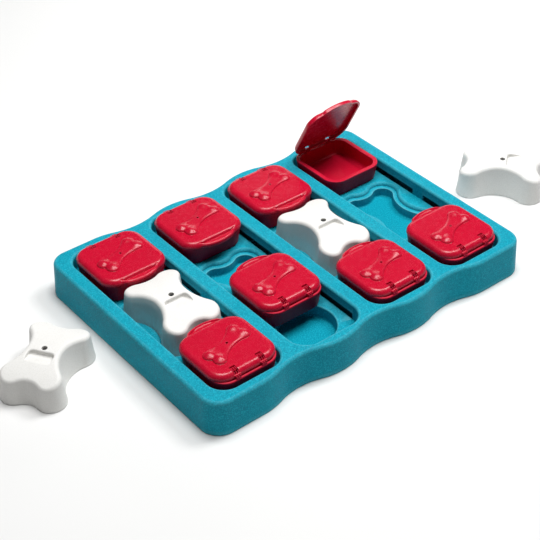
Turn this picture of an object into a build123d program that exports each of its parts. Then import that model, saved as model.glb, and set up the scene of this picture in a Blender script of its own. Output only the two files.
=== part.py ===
from build123d import *
import os
from math import atan2, cos, degrees, radians, sin, tan

# A dog puzzle feeder toy: a moulded tray with four channels. In each channel a lidded food box slides at
# both ends and a hollow bone block hides a food recess between them.
# Millimetres. The origin is the centre of the tray's underside, X runs across the channels, Y along them.

# ---- Tray ----
tray_length = 330.0        # along X, at the base
tray_width = 234.8         # along Y, crest to crest at the base
tray_height = 31.7
tray_draft = 3.0           # degrees
tray_corner_radius = 17.3
tray_top_rounding = 3.0
tray_wall = 2.4
wave_depth = 6.5           # of the waves along the front and back
channel_count = 4
rail_width = 13.9          # between neighbouring channels, on top
side_rim_width = 12.9      # outside the first and last channels, on top
end_rim_width = 9.6        # beyond the channel ends, at the wave crests, on top
channel_corner_radius = 15.5
channel_edge_rounding = 2.4
track_height = 17.5        # of the floor that the boxes slide over
recess_floor_height = 6.0  # of the food recesses
recess_margin = 4.8        # between a recess and the edge of the lid above it
recess_edge_rounding = 1.5
rib_thickness = 2.0

# ---- Slots that hold the boxes down ----
slot_height = 5.5
slot_bridge = 12.8         # solid wall left between the front and rear slots
slot_end_gap = 0.5
stop_gap = 0.2

# ---- Bone block ----
bone_length = 78.0
bone_side_gap = 4.9        # between the bone's foot and the channel wall
bone_height = 29.0
bone_lobe_radius = 12.5
bone_side_dip = 10.0       # how far the waist is drawn in
bone_end_dip = 4.5
bone_draft = 6.0           # degrees
bone_crown_radius = 97.0
bone_top_rounding = 3.5
bone_wall = 2.2
bone_roof = 2.6
air_hole_radius = 1.75
grip_width = 21.0
grip_start = 4.0           # from the air hole's centre to the grip's steep wall
grip_run = 13.0            # from the steep wall to the end of the ramp
grip_floor = 2.0           # level stretch between the wall and the ramp
grip_depth = 5.0
grip_corner_radius = 3.4
seat_gap = 0.3             # beside the bone's foot in its seat
seat_depth = 3.3           # of the ledge that carries the bone, below the track
seat_ledge = 3.4           # in from the bone's foot to the recess
seat_upright = 0.3         # of the seat's wall, below its rounded edge

# ---- Food box ----
box_end_gap = 1.7          # to the channel's end
box_bone_gap = 2.8         # to the bone's foot
box_side_gap = 1.5
box_lift = 0.3             # running clearance over the track
box_rim_height = 34.0      # of the rim's top above the table
box_rim_overhang = 0.3
box_rim_thickness = 2.0
box_rim_width = 5.3
box_corner_radius = 13.5
box_inner_corner_radius = 9.0
box_draft = 7.0            # degrees
cup_draft = 1.5            # degrees
cup_floor = 2.0
cup_rounding = 3.0
runner_thickness = 3.3
runner_reach = 2.0         # beyond the channel wall's face, into the slot
runner_start = 5.0         # from the box's inner end
runner_setback = 14.4      # from the box's outer end
runner_lift = 0.6          # over the track

# ---- Lid ----
lid_seam = 0.3             # between rim and lid
lid_height = 5.2
lid_corner_radius = 14.0
lid_upright = 0.4          # of the lid's edge, below its rounding
lid_wall = 2.2
lid_roof = 2.0
lid_side_gap = 0.1         # inside the rim's edge
lid_inner_gap = 1.2        # back from the rim's inner end
lid_hinge_gap = 3.0        # back from the rim's outer end
lip_reach = 5.4
lip_width = 38.0
lip_height = 3.7
lip_rounding = 1.2
lip_rim_width = 1.8
lip_dish_depth = 0.8

# ---- Hinge ----
pin_radius = 1.1
pin_clearance = 0.05
pin_height = 1.8           # over the lid's lower edge
pin_inset = 0.4            # inside the lid's outer edge
knuckle_radius = 2.25
knuckle_rounding = 1.8     # of the hook's back
knuckle_drop = 0.3         # from the hook's tip to the top of its back
knuckle_spacing = 24.4
knuckle_width = 4.6
knuckle_opening = 70.0     # degrees, where the pin snaps in
knuckle_shelf = 1.8
notch_length = 7.7
notch_side_gap = 0.35
notch_end_gap = 1.2        # between the hook's foot and the notch's inner wall

# ---- Raised bone figure on each lid ----
figure_length = 45.5
figure_width = 20.0
figure_lobe_radius = 5.5
figure_side_dip = 4.55
figure_end_dip = 1.7
figure_height = 2.4
figure_upright = 0.3       # of the figure's edge, below its rounding
figure_angle = 22.0        # degrees from X
vent_radius = 1.0

# ---- How the toy stands here ----
slid_box = (2, "front")    # pushed in to its stop
open_lid = (4, "rear")
open_lid_angle = 63.0
seated_bones = (1, 3)      # the channels that hold their bone
loose_bones = {"left": (-1, 56.6, 22.9, -56.0), "right": (1, 76.0, -16.6, 39.0)}  # side, way off, y, turn

# ---- Worked out from the sizes above ----
top_inset = tray_height * tan(radians(tray_draft))
rail_widths = (channel_count - 1) * rail_width
channel_width = (tray_length - 2 * (top_inset + side_rim_width) - rail_widths) / channel_count
channel_pitch = channel_width + rail_width
channel_length = tray_width - 2 * (top_inset + end_rim_width)
box_width = channel_width - 2 * box_side_gap
box_start = bone_length / 2 + box_bone_gap
box_length = channel_length / 2 - box_end_gap - box_start
lid_length = box_length - lid_inner_gap - lid_hinge_gap
cell_y = box_start + lid_inner_gap + lid_length / 2
box_bottom = track_height + box_lift
recess_radius = min(lid_length, box_width) / 2 - recess_margin
runner_inner_end = box_start + runner_start
runner_outer_end = box_start + box_length - runner_setback
box_travel = runner_inner_end - slot_bridge / 2 - stop_gap
seat_height = track_height - seat_depth
lid_bottom = box_rim_height + lid_seam
lid_top = lid_bottom + lid_height
lid_rounding = lid_height - lid_upright
figure_rounding = figure_height - figure_upright
pin_y = lid_length / 2 - pin_inset
pin_z = lid_bottom + pin_height
notch_width = knuckle_width + 2 * notch_side_gap
over = 1.0                 # how far cutting shapes run past a face


def channel_x(channel):
    return (channel - (channel_count + 1) / 2) * channel_pitch


def arc(x, y, radius, start, end):
    angles = [radians(a) for a in (start, (start + end) / 2, end)]
    return ThreePointArc(*[(x + radius * cos(a), y + radius * sin(a)) for a in angles])


def slab(face, bottom, top):
    return extrude(Pos(0, 0, bottom) * face, top - bottom, dir=(0, 0, 1))


def eased_slab(outline, bottom, top, rounding, side, grow=0.0, steps=2):
    """A slab of outline(grow), its top edge rounded in flat steps: inwards for side -1, outwards for +1."""
    body = slab(outline(grow), bottom, top - rounding)
    turns = [radians(90 * n / steps) for n in range(steps + 1)]
    for low, high in zip(turns, turns[1:]):
        rise = rounding * (sin(high) - sin(low))
        lean = degrees(atan2(rounding * (cos(low) - cos(high)), rise))
        start = Pos(0, 0, top - rounding + rounding * sin(low))
        step = start * outline(grow + side * rounding * (1 - cos(low)))
        body += extrude(step, rise, dir=(0, 0, 1), taper=-side * lean)
    return body


def block(x, y, z):
    """A box between two values along each axis."""
    return Pos(sum(x) / 2, sum(y) / 2, sum(z) / 2) * Box(x[1] - x[0], y[1] - y[0], z[1] - z[0])


def edges_at(shape, height):
    return [e for e in shape.edges() if all(abs(v.Z - height) < 1e-4 for v in (e @ 0, e @ 0.5, e @ 1))]


def on_both_ends(shape):
    return [shape, Rot(0, 0, 180) * shape]


# ---- Outlines ----
def wave_outline(grow=0.0):
    """The tray's plan: straight sides, and a wave with a crest at each channel and a trough at each rail."""
    half_length, crest = tray_length / 2, tray_width / 2
    quarter = channel_pitch / 4
    bend = (quarter**2 + (wave_depth / 2) ** 2) / wave_depth
    turn = degrees(atan2(quarter, bend - wave_depth / 2))
    last_crest = channel_x(channel_count)
    corner = tray_corner_radius
    back = [arc(half_length - corner, crest - corner, corner + grow, 0, 90)]
    back += [Line((half_length - corner, crest + grow), (last_crest, crest + grow))]
    for channel in range(channel_count, 0, -1):
        start = 90 if channel == channel_count else 90 - turn
        end = 90 if channel == 1 else 90 + turn
        back += [arc(channel_x(channel), crest - bend, bend + grow, start, end)]
        if channel > 1:
            trough_x = channel_x(channel) - channel_pitch / 2
            back += [arc(trough_x, crest - wave_depth + bend, bend - grow, turn - 90, -turn - 90)]
    back += [Line((-last_crest, crest + grow), (corner - half_length, crest + grow))]
    back += [arc(corner - half_length, crest - corner, corner + grow, 90, 180)]
    side = Line((half_length + grow, corner - crest), (half_length + grow, crest - corner))
    return Face(Wire(back + [e.mirror(Plane.XZ) for e in back] + [side, side.mirror(Plane.YZ)]))


def bone_outline(length, width, lobe, side_dip, end_dip, grow=0.0):
    """Four round lobes joined by hollow arcs, with the long way along Y."""
    across, along = width / 2 - lobe, length / 2 - lobe
    side_bend = ((lobe - side_dip) ** 2 + along**2 - lobe**2) / (2 * side_dip)
    end_bend = ((lobe - end_dip) ** 2 + across**2 - lobe**2) / (2 * end_dip)
    side_x, end_y = width / 2 - side_dip + side_bend, length / 2 - end_dip + end_bend
    side_turn = degrees(atan2(along, side_x - across))
    end_turn = degrees(atan2(across, end_y - along))
    lobe_arc = arc(across, along, lobe + grow, -side_turn, 90 + end_turn)
    side_arc = arc(side_x, 0, side_bend - grow, 180 + side_turn, 180 - side_turn)
    end_arc = arc(0, end_y, end_bend - grow, -90 - end_turn, -90 + end_turn)
    half = [lobe_arc, lobe_arc.mirror(Plane.YZ), end_arc]
    return Face(Wire(half + [e.mirror(Plane.XZ) for e in half] + [side_arc, side_arc.mirror(Plane.YZ)]))


def foot_outline(grow=0.0):
    width = channel_width - 2 * bone_side_gap
    return bone_outline(bone_length, width, bone_lobe_radius, bone_side_dip, bone_end_dip, grow)


def figure_outline(grow=0.0):
    dips = figure_side_dip, figure_end_dip
    return bone_outline(figure_length, figure_width, figure_lobe_radius, *dips, grow)


def rounded_plan(width, start, end, radius):
    middle = Pos(0, (start + end) / 2)
    return (middle * RectangleRounded(width, end - start, radius)).face()


# ---- Tray ----
def channel_outline(grow=0.0):
    half = channel_length / 2 + grow
    return rounded_plan(channel_width + 2 * grow, -half, half, channel_corner_radius + grow)


def seat_cutter():
    """The bone's seat, and the recess inside it. The ledge left between them carries the bone's wall."""
    seat = eased_slab(foot_outline, seat_height, track_height, seat_depth - seat_upright, 1, seat_gap)
    return seat + slab(foot_outline(-seat_ledge), recess_floor_height, seat_height + over)


def recess_cutters():
    rise = Align.CENTER, Align.CENTER, Align.MIN
    depth = track_height - recess_floor_height
    well = Pos(0, cell_y, recess_floor_height) * Cylinder(recess_radius, depth, align=rise)
    edge = Cone(recess_radius, recess_radius + recess_edge_rounding, recess_edge_rounding, align=rise)
    return on_both_ends(well + Pos(0, cell_y, track_height - recess_edge_rounding) * edge)


def make_trough():
    """A channel's floor, with a tub under each hollow in it. The channel's walls stand on its edge."""
    trough = slab(channel_outline(tray_wall), track_height - tray_wall, track_height)
    bottom = recess_floor_height - tray_wall
    trough += slab(foot_outline(seat_gap + tray_wall), bottom, track_height)
    rise = Align.CENTER, Align.CENTER, Align.MIN
    tub = Pos(0, cell_y, bottom) * Cylinder(recess_radius + tray_wall, track_height - bottom, align=rise)
    return trough + on_both_ends(tub) - seat_cutter() - recess_cutters() - slots(0, tray_wall + over)


def slots(inwards, down):
    """The four slots of a channel, through its side walls and its floor's edge into the hollow rails."""
    start, end = slot_bridge / 2, runner_outer_end + slot_end_gap
    inner, outer = channel_width / 2 - inwards, channel_width / 2 + tray_wall + over
    height = track_height - down, track_height + slot_height
    pair = [block(x, (start, end), height) for x in ((inner, outer), (-outer, -inner))]
    return [cut for slot in pair for cut in on_both_ends(slot)]


def make_tray():
    """The tray's shell: its skirt, top and channel walls, with ribs inside. A trough closes each channel."""
    places = [Pos(channel_x(n), 0) for n in range(1, channel_count + 1)]
    side_height = tray_height - tray_top_rounding
    side_inset = side_height * tan(radians(tray_draft))
    tray = extrude(wave_outline(), side_height, dir=(0, 0, 1), taper=tray_draft)
    tray += eased_slab(wave_outline, side_height - over, tray_height, tray_top_rounding, -1, -side_inset)

    channel = eased_slab(channel_outline, track_height, tray_height, channel_edge_rounding, 1)
    channel += slab(channel_outline(channel_edge_rounding), tray_height, tray_height + over)
    tray -= [place * channel for place in places]

    hollow = extrude(wave_outline(-tray_wall), tray_height - tray_wall, dir=(0, 0, 1), taper=tray_draft)
    walls = slab(channel_outline(tray_wall), track_height, tray_height)
    hollow -= [place * walls for place in places] + ribs()
    return tray - hollow - [place * cut for place in places for cut in slots(over, 0)]


def ribs():
    """Stiffening ribs: one along each hollow rail, and cross ribs under the troughs, clear of their tubs."""
    thickness = (-rib_thickness / 2, rib_thickness / 2)
    along = block(thickness, (-tray_width / 2, tray_width / 2), (-over, tray_height))
    gap_middle = (bone_length / 2 + seat_gap + cell_y - recess_radius) / 2
    across = block((-tray_length / 2, tray_length / 2), thickness, (-over, track_height - tray_wall))
    rails = [Pos((channel_x(n) + channel_x(n + 1)) / 2, 0) * along for n in range(1, channel_count)]
    return rails + on_both_ends(Pos(0, gap_middle) * across)


# ---- Bone block, standing on z = 0 ----
def grip_shape(grow=0.0):
    """The finger grip: a steep wall beside the air hole and a ramp running out at the top."""
    top = bone_height + over + grow
    bottom = bone_height - grip_depth - grow
    wall_y, ramp_y = grow - grip_start, -grip_start - grip_run - grow
    profile = Polyline((wall_y, top), (wall_y, bottom), (-grip_start - grip_floor, bottom),
                       (ramp_y, top - over), (ramp_y, top), close=True)
    shape = extrude(Plane.YZ * make_face(profile), grip_width / 2 + grow, both=True)
    corners = [e for e in shape.edges().filter_by(Axis.Z) if e.center().Y > -grip_start - over]
    return fillet(corners, grip_corner_radius + grow)


def make_bone():
    middle = Pos(0, 0, bone_height - bone_crown_radius) * Rot(0, 90, 0)
    body = extrude(foot_outline(), bone_height, dir=(0, 0, 1), taper=bone_draft)
    body &= middle * Cylinder(bone_crown_radius, channel_width)
    body -= grip_shape()
    crown = body.faces().filter_by(GeomType.CYLINDER).sort_by(SortBy.AREA)[-1]
    body = chamfer(crown.outer_wire().edges(), bone_top_rounding / 2)
    hollow = extrude(foot_outline(-bone_wall), bone_height, dir=(0, 0, 1), taper=bone_draft)
    hollow &= middle * Cylinder(bone_crown_radius - bone_roof, channel_width)
    hollow -= grip_shape(bone_roof)
    return body - hollow - Cylinder(air_hole_radius, 3 * bone_height)


# ---- Food box and lid: z as in the toy, y = 0 at the lid's centre and +y towards the hinge ----
rim_start = -lid_length / 2 - lid_inner_gap
rim_end = lid_length / 2 + lid_hinge_gap


def box_plan(inset, radius):
    return rounded_plan(box_width - 2 * inset, rim_start + inset, rim_end - inset, radius)


def knuckle():
    """A hook on a shelf, which holds the lid's pin."""
    bore = Pos(0, pin_y, pin_z) * Rot(0, 90, 0) * Cylinder(pin_radius + pin_clearance, knuckle_width + over)
    inner = lid_length / 2 - notch_length + notch_end_gap
    ring = Pos(0, pin_y, pin_z) * Rot(0, 90, 0) * Cylinder(knuckle_radius, knuckle_width)
    width = (-knuckle_width / 2, knuckle_width / 2)
    foot = block(width, (inner, pin_y + knuckle_radius), (box_rim_height - knuckle_shelf, pin_z))
    back = block(width, (inner, pin_y), (box_rim_height, pin_z + knuckle_radius - knuckle_drop))
    body = fillet((ring + foot + back).edges().filter_by(Axis.X).group_by(Axis.Y)[0][-1], knuckle_rounding)
    mouth_half = tan(radians(knuckle_opening / 2)) * 2 * knuckle_radius
    mouth = Polyline((pin_y, pin_z), (pin_y - mouth_half, pin_z + 2 * knuckle_radius),
                     (pin_y + mouth_half, pin_z + 2 * knuckle_radius), close=True)
    return body - bore - extrude(Plane.YZ * make_face(mouth), knuckle_width, both=True)


def make_box():
    height = box_rim_height - box_bottom
    wall_plan = box_plan(box_rim_overhang, box_corner_radius - box_rim_overhang)
    body = extrude(Pos(0, 0, box_rim_height) * wall_plan, height, dir=(0, 0, -1), taper=box_draft)
    body += slab(box_plan(0, box_corner_radius), box_rim_height - box_rim_thickness, box_rim_height)
    runner_y = runner_inner_end - cell_y, runner_outer_end - cell_y
    runner_x = channel_width / 2 + runner_reach
    runner_z = track_height + runner_lift, track_height + runner_lift + runner_thickness
    body += block((-runner_x, runner_x), runner_y, runner_z)
    cup = extrude(Pos(0, 0, box_rim_height) * box_plan(box_rim_width, box_inner_corner_radius),
                  height - cup_floor, dir=(0, 0, -1), taper=cup_draft)
    body -= chamfer(edges_at(cup, box_bottom + cup_floor), cup_rounding / 2)
    return body + [Pos(x) * knuckle() for x in (-knuckle_spacing / 2, knuckle_spacing / 2)]


def lip():
    """The crescent pull lip, dished behind its edge."""
    edge_y = -lid_length / 2
    bend = (lip_width**2 / 4 + lip_reach**2) / (2 * lip_reach)
    turn = degrees(atan2(lip_width / 2, bend - lip_reach))
    centre_y = edge_y - lip_reach + bend
    ends = [(s * lip_width / 2, edge_y + lid_rounding) for s in (-1, 1)]
    crescent = [arc(0, centre_y, bend, -90 - turn, -90 + turn), Line((lip_width / 2, edge_y), ends[1]),
                Line(ends[1], ends[0]), Line(ends[0], (-lip_width / 2, edge_y))]
    top = lid_bottom + lip_height
    body = slab(Face(Wire(crescent)), lid_bottom, top)
    body = chamfer([e for e in edges_at(body, top) if e.geom_type == GeomType.CIRCLE], lip_rounding)
    dish = Pos(0, centre_y, top + over - lip_dish_depth) * Cylinder(bend - lip_rim_width, 2 * over)
    return body - (dish & block((-lip_width, lip_width), (edge_y - lip_reach, edge_y), (0, tray_width)))


def make_lid():
    half = lid_length / 2
    width = box_width - 2 * lid_side_gap
    def outline(grow=0.0):
        return rounded_plan(width + 2 * grow, -half - grow, half + grow, lid_corner_radius + grow)

    lid = eased_slab(outline, lid_bottom, lid_top, lid_rounding, -1) + lip()
    lid -= slab(outline(-lid_wall), lid_bottom - over, lid_top - lid_roof)
    heights = lid_top - lid_roof / 2, lid_top + figure_height
    lid += Rot(0, 0, figure_angle - 90) * eased_slab(figure_outline, *heights, figure_rounding, -1)
    lid -= Pos(0, 0, lid_top) * Cylinder(vent_radius, 4 * lid_roof)
    for x in (-knuckle_spacing / 2, knuckle_spacing / 2):
        notch_x = (x - notch_width / 2, x + notch_width / 2)
        lid -= block(notch_x, (half - notch_length, half + over), (lid_bottom - over, lid_top + over))
        lid += Pos(x, pin_y, pin_z) * Rot(0, 90, 0) * Cylinder(pin_radius, notch_width + over)
    return lid


# ---- The pieces in place ----
def cell_place(channel, end):
    if end == "rear":
        return Pos(channel_x(channel), cell_y) * Rot(0, 0, 0)
    inward = box_travel if (channel, end) == slid_box else 0
    return Pos(channel_x(channel), inward - cell_y) * Rot(0, 0, 180)


def place_all():
    pieces = {"tray": make_tray()}
    trough, box, lid, bone = make_trough(), make_box(), make_lid(), make_bone()
    lift = Pos(0, pin_y, pin_z) * Rot(-open_lid_angle, 0, 0) * Pos(0, -pin_y, -pin_z)
    for channel in range(1, channel_count + 1):
        pieces[f"trough_{channel}"] = Pos(channel_x(channel)) * trough
        for end in ("rear", "front"):
            place = cell_place(channel, end)
            pieces[f"box_{channel}_{end}"] = place * box
            pieces[f"lid_{channel}_{end}"] = place * (lift * lid if (channel, end) == open_lid else lid)
    for channel in seated_bones:
        pieces[f"bone_{channel}"] = Pos(channel_x(channel), 0, seat_height) * bone
    for name, (side, way_off, y, turn) in loose_bones.items():
        pieces[f"bone_loose_{name}"] = Pos(side * (tray_length / 2 + way_off), y) * Rot(0, 0, turn) * bone
    return pieces


os.makedirs("parts", exist_ok=True)
for name, shape in place_all().items():
    export_step(shape, f"parts/{name}.step")
    print(name, round(shape.volume / 1000, 2), "cm3")
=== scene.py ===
import bpy
import bmesh
import numpy as np
from mathutils import Matrix, Vector
from mathutils.geometry import delaunay_2d_cdt


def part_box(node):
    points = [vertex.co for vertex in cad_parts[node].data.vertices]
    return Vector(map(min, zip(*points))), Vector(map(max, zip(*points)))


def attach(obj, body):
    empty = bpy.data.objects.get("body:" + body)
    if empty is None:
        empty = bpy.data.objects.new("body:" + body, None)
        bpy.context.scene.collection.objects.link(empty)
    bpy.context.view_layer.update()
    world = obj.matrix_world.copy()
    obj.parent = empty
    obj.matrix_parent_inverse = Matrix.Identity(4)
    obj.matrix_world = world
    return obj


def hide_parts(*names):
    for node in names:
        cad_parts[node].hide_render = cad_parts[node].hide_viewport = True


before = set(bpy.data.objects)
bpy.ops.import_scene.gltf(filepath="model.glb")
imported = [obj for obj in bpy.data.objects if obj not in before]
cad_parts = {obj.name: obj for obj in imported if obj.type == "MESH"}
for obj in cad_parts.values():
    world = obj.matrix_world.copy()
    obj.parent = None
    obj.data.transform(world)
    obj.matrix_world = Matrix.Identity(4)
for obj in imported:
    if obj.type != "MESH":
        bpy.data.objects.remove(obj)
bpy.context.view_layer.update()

toMetres = 0.001   # every shape below is worked out in millimetres

# Outlines: points and outward normals, anticlockwise. Moved along its normals, an outline offsets exactly.


def arcRun(centre, radius, start, end, hollow=False, step=6):
    count = max(2, round(abs(end - start) / step)) + 1
    turns = np.radians(np.linspace(start, end, count))
    rays = np.stack([np.cos(turns), np.sin(turns)], 1)
    return np.array(centre) + radius * rays, -rays if hollow else rays   # hollow arcs bend inwards


def joinRuns(runs, reach=8.0, stops=()):
    # closes the arcs in order, with points along the straight stretches, at the stops along Y among them
    points, normals = [], []
    for (spots, rays), (nextSpots, _) in zip(runs, runs[1:] + runs[:1]):
        points += list(spots)
        normals += list(rays)
        start, end = spots[-1], nextSpots[0]
        gap = np.linalg.norm(end - start)
        if gap < 1e-4:   # the arcs touch
            points.pop()
            normals.pop()
            continue
        parts = list(np.linspace(0, 1, max(1, round(gap / reach)) + 1)[1:-1])
        low, high = sorted((start[1], end[1]))
        parts += [(stop - start[1]) / (end[1] - start[1]) for stop in stops if low < stop < high]
        for part in sorted(parts):
            points.append(start + part * (end - start))
            normals.append(rays[-1])
    return np.array(points), np.array(normals)


def turnedRuns(runs, angle=180):
    turn = np.radians(angle)
    matrix = np.array([[np.cos(turn), np.sin(turn)], [-np.sin(turn), np.cos(turn)]])
    return [(spots @ matrix, rays @ matrix) for spots, rays in runs]


def shifted(outline, x):
    return outline[0] + np.array([x, 0.0]), outline[1]


def divided(outline, reach=1.6):
    # the same outline with its long straight stretches divided
    points, normals = [], []
    for p, q, n, m in zip(outline[0], np.roll(outline[0], -1, 0), outline[1], np.roll(outline[1], -1, 0)):
        steps = max(1, int(np.linalg.norm(q - p) / reach)) if np.allclose(n, m, atol=1e-6) else 1
        points += [p + (q - p) * k / steps for k in range(steps)]
        normals += [n] * steps
    return np.array(points), np.array(normals)


def roundedOutline(width, start, end, radius, stops=(), step=6):
    x = width / 2 - radius
    corners = [(x, end - radius), (-x, end - radius), (-x, start + radius), (x, start + radius)]
    return joinRuns([arcRun(spot, radius, 90 * n, 90 * n + 90, step=step) for n, spot in enumerate(corners)],
                    stops=stops)


def circleOutline(centre, radius, step=6):
    spots, rays = arcRun(centre, radius, 0, 360, step=step)
    return spots[:-1], rays[:-1]


def boneOutline(length, width, lobe, sideDip, endDip, step=6):
    # four round lobes joined by hollow arcs, the long way along Y
    across, along = width / 2 - lobe, length / 2 - lobe
    sideBend = ((lobe - sideDip) ** 2 + along**2 - lobe**2) / (2 * sideDip)
    endBend = ((lobe - endDip) ** 2 + across**2 - lobe**2) / (2 * endDip)
    sideX, endY = width / 2 - sideDip + sideBend, length / 2 - endDip + endBend
    sideTurn = np.degrees(np.arctan2(along, sideX - across))
    endTurn = np.degrees(np.arctan2(across, endY - along))
    half = [arcRun((across, along), lobe, -sideTurn, 90 + endTurn, step=step),
            arcRun((0, endY), endBend, endTurn - 90, -endTurn - 90, hollow=True, step=step / 2),
            arcRun((-across, along), lobe, 90 - endTurn, 180 + sideTurn, step=step),
            arcRun((-sideX, 0), sideBend, sideTurn, -sideTurn, hollow=True, step=step / 2)]
    return joinRuns(half + turnedRuns(half))


def quarter(offset, z, radius, start, end, count=5):
    # levels around a rounded edge: its centre is at (offset, z), 0 points outwards and 90 up
    turns = np.radians(np.linspace(start, end, count + 1))
    return [(offset + radius * np.cos(t), z + radius * np.sin(t)) for t in turns]


def eased(part):
    # 0 to 1 with a soft start and end
    return part * part * (3 - 2 * part)


def inside(spots, corners, edges):
    a, b = corners[edges[:, 0]], corners[edges[:, 1]]
    x, y = spots[:, 0:1], spots[:, 1:2]
    rise = np.where(b[:, 1] == a[:, 1], 1, b[:, 1] - a[:, 1])
    crossed = ((a[:, 1] > y) != (b[:, 1] > y)) & (x < a[:, 0] + (y - a[:, 1]) * (b[:, 0] - a[:, 0]) / rise)
    return crossed.sum(1) % 2 == 1


class Shell:
    # a mesh grown from loops of points; skins between loops face outwards when they climb
    def __init__(self):
        self.points, self.faces = [], []

    def loop(self, flat, z):
        first = len(self.points)
        heights = np.broadcast_to(z, len(flat))
        self.points += [(x, y, h) for (x, y), h in zip(flat, heights)]
        return list(range(first, first + len(flat)))

    def ring(self, outline, offset, z):
        return self.loop(outline[0] + outline[1] * np.reshape(offset, (-1, 1)), z)

    def lay(self, ids, height):
        # moves points up or down onto a curved surface
        for i in ids:
            x, y, _ = self.points[i]
            self.points[i] = (x, y, float(height(x, y)))

    def skin(self, a, b, only=None, without=()):
        for i in (range(len(a)) if only is None else only):
            if i not in without:
                j = (i + 1) % len(a)
                self.faces.append((a[i], a[j], b[j], b[i]))

    def skins(self, rings):
        for a, b in zip(rings, rings[1:]):
            self.skin(a, b)
        return rings

    def sweep(self, outline, levels, start=None):
        rings = [self.ring(outline, offset, z) for offset, z in levels]
        return self.skins([start] + rings if start else rings)

    def fill(self, loops, up=True, spacing=0, height=None):
        # a flat or gently shaped face between an outer loop and the holes in it
        ids = [i for loop in loops for i in loop]
        corners = np.array([self.points[i][:2] for i in ids])
        flat, edges, first = corners, [], 0
        for loop in loops:
            edges += [(first + i, first + (i + 1) % len(loop)) for i in range(len(loop))]
            first += len(loop)
        edges = np.array(edges)
        if spacing:
            low, high = corners.min(0) + spacing / 2, corners.max(0)
            grid = np.stack(np.meshgrid(np.arange(low[0], high[0], spacing),
                                        np.arange(low[1], high[1], spacing)), -1).reshape(-1, 2)
            grid = grid[inside(grid, corners, edges)]
            away = np.linalg.norm(grid[:, None] - corners[None], axis=2).min(1)
            grid = grid[away > 0.6 * spacing]   # nearer ones would make slivers with the loops
            ids += self.loop(grid, height(grid[:, 0], grid[:, 1]))
            flat = np.concatenate([corners, grid])
        made = delaunay_2d_cdt([Vector(p) for p in flat], edges.tolist(), [], 0, 1e-6, True)
        spots, triangles, origins = np.array([tuple(v) for v in made[0]]), np.array(made[2]), made[3]
        middles = spots[triangles].mean(1)
        for triangle, keep in zip(triangles, inside(middles, corners, edges)):
            if keep:
                a, b, c = spots[triangle]
                turned = (b[0] - a[0]) * (c[1] - a[1]) - (b[1] - a[1]) * (c[0] - a[0])
                face = [ids[origins[v][0]] for v in triangle]
                self.faces.append(face if (turned > 0) == up else face[::-1])

    def block(self, low, high, rounding):
        # a closed bar with rounded upright corners and eased edges, for runners and shelves
        (x0, y0, z0), (x1, y1, z1) = low, high
        corner = rounding + 0.2   # a little more than the easing, which would otherwise close it up
        outline = shifted(roundedOutline(x1 - x0, y0, y1, corner), (x0 + x1) / 2)
        rings = self.sweep(outline, quarter(-rounding, z0 + rounding, rounding, -90, 0, 3) +
                           quarter(-rounding, z1 - rounding, rounding, 0, 90, 3))
        self.fill([rings[0]], up=False)
        self.fill([rings[-1]])

    def rod(self, centre, radius, halfLength, sides=20, ease=0.3):
        # a closed pin along X with eased ends
        turns = np.linspace(0, 2 * np.pi, sides, endpoint=False)
        cx, cy, cz = centre
        straight, rings = halfLength - ease * radius, []
        for x, r in ((-halfLength, 1 - ease), (-straight, 1), (straight, 1), (halfLength, 1 - ease)):
            first = len(self.points)
            self.points += [(cx + x, cy + radius * r * np.cos(t), cz + radius * r * np.sin(t)) for t in turns]
            rings.append(list(range(first, first + sides)))
        for a, b in zip(rings, rings[1:]):
            self.skin(b, a)
        self.faces += [rings[0], rings[-1][::-1]]


def meshOf(name, points, faces):
    mesh = bpy.data.meshes.new(name)
    mesh.from_pydata([tuple(c * toMetres for c in spot) for spot in points], [], faces)
    return mesh


def newObject(name, data):
    made = bpy.data.objects.new(name, data)
    bpy.context.scene.collection.objects.link(made)
    return made


def applied(obj, name):
    # the object's mesh with its modifiers carried out
    bpy.context.view_layer.update()
    graph = bpy.context.evaluated_depsgraph_get()
    mesh = bpy.data.meshes.new_from_object(obj.evaluated_get(graph))
    mesh.name = name
    bpy.data.objects.remove(obj)
    return mesh


def markEdges(mesh, sharpest=0.3):
    # how far a point stands on an outer edge, 0 flat to 1 on a tight rounding: the paler edge colour goes
    # there, which is wear, and on the tray also a painted highlight
    count = len(mesh.vertices)
    spots, normals = np.empty(count * 3), np.empty(count * 3)
    mesh.vertices.foreach_get("co", spots)
    mesh.vertex_normals.foreach_get("vector", normals)
    spots, normals = spots.reshape(-1, 3) / toMetres, normals.reshape(-1, 3)
    pairs = np.empty(len(mesh.edges) * 2, dtype=int)
    mesh.edges.foreach_get("vertices", pairs)
    a, b = pairs.reshape(-1, 2).T
    way = spots[b] - spots[a]
    length = np.maximum((way**2).sum(1), 1e-3)
    bend, total = np.zeros(count), np.zeros(count)
    for ids, side in ((a, -1), (b, 1)):
        np.add.at(bend, ids, side * (normals[ids] * way).sum(1) / length)
        np.add.at(total, ids, 1)
    edge = mesh.attributes.new("edge", "FLOAT", "POINT")
    edge.data.foreach_set("value", np.clip(bend / np.maximum(total, 1) / sharpest, 0, 1))


def shaded(mesh, sharpAngle):
    mesh.shade_smooth()
    mesh.set_sharp_from_angle(angle=np.radians(sharpAngle))
    markEdges(mesh)


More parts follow.
